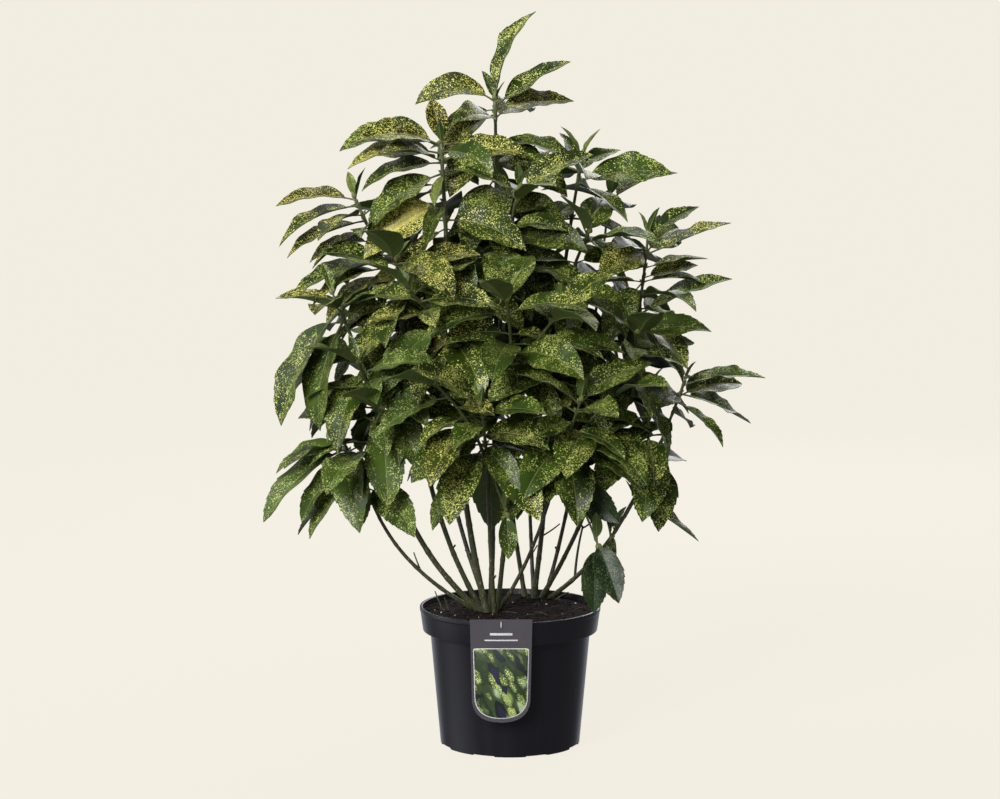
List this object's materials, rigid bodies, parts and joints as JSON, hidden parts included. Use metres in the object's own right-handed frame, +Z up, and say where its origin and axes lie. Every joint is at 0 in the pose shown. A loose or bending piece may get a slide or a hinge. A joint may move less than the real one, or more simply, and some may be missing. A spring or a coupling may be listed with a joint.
{
  "type": "potted spotted laurel",
  "caption": "Bushy evergreen shrub with many slim canes and large speckled leaves, growing in a round black nursery pot of soil with a hanging plant label.",
  "frame": {"origin": "centre of the pot's flat underside", "axes": "+Z up along the pot's axis; -Y is the front, where the label hangs; +X is to the right seen from the front"},
  "size_m": [0.7716, 0.6205, 1.1298],
  "materials": {
    "pot": "black injection-moulded polypropylene, satin",
    "soil": "moist dark brown potting soil with pale grains",
    "label": "printed plastic card, satin",
    "hook": "pale smooth plastic wire",
    "cane": "green to grey-brown young bark, satin",
    "foliage": "glossy dark green leaves with pale yellow speckles"
  },
  "bodies": {
    "root": {"pot": "pot", "potting_soil": "soil", "plant_label": "label", "label_hook": "hook", "cane_01": "cane", "cane_02": "cane", "cane_03": "cane", "cane_04": "cane", "cane_05": "cane", "cane_06": "cane", "cane_07": "cane", "cane_08": "cane", "cane_09": "cane", "cane_10": "cane", "cane_11": "cane", "cane_12": "cane", "cane_13": "cane", "cane_14": "cane", "cane_15": "cane", "foliage_01": "foliage", "foliage_02": "foliage", "foliage_03": "foliage", "foliage_04": "foliage", "foliage_05": "foliage", "foliage_06": "foliage", "foliage_07": "foliage", "foliage_08": "foliage", "foliage_09": "foliage", "foliage_10": "foliage", "foliage_11": "foliage", "foliage_12": "foliage", "foliage_13": "foliage", "foliage_14": "foliage", "foliage_15": "foliage"}
  },
  "joints": []
}
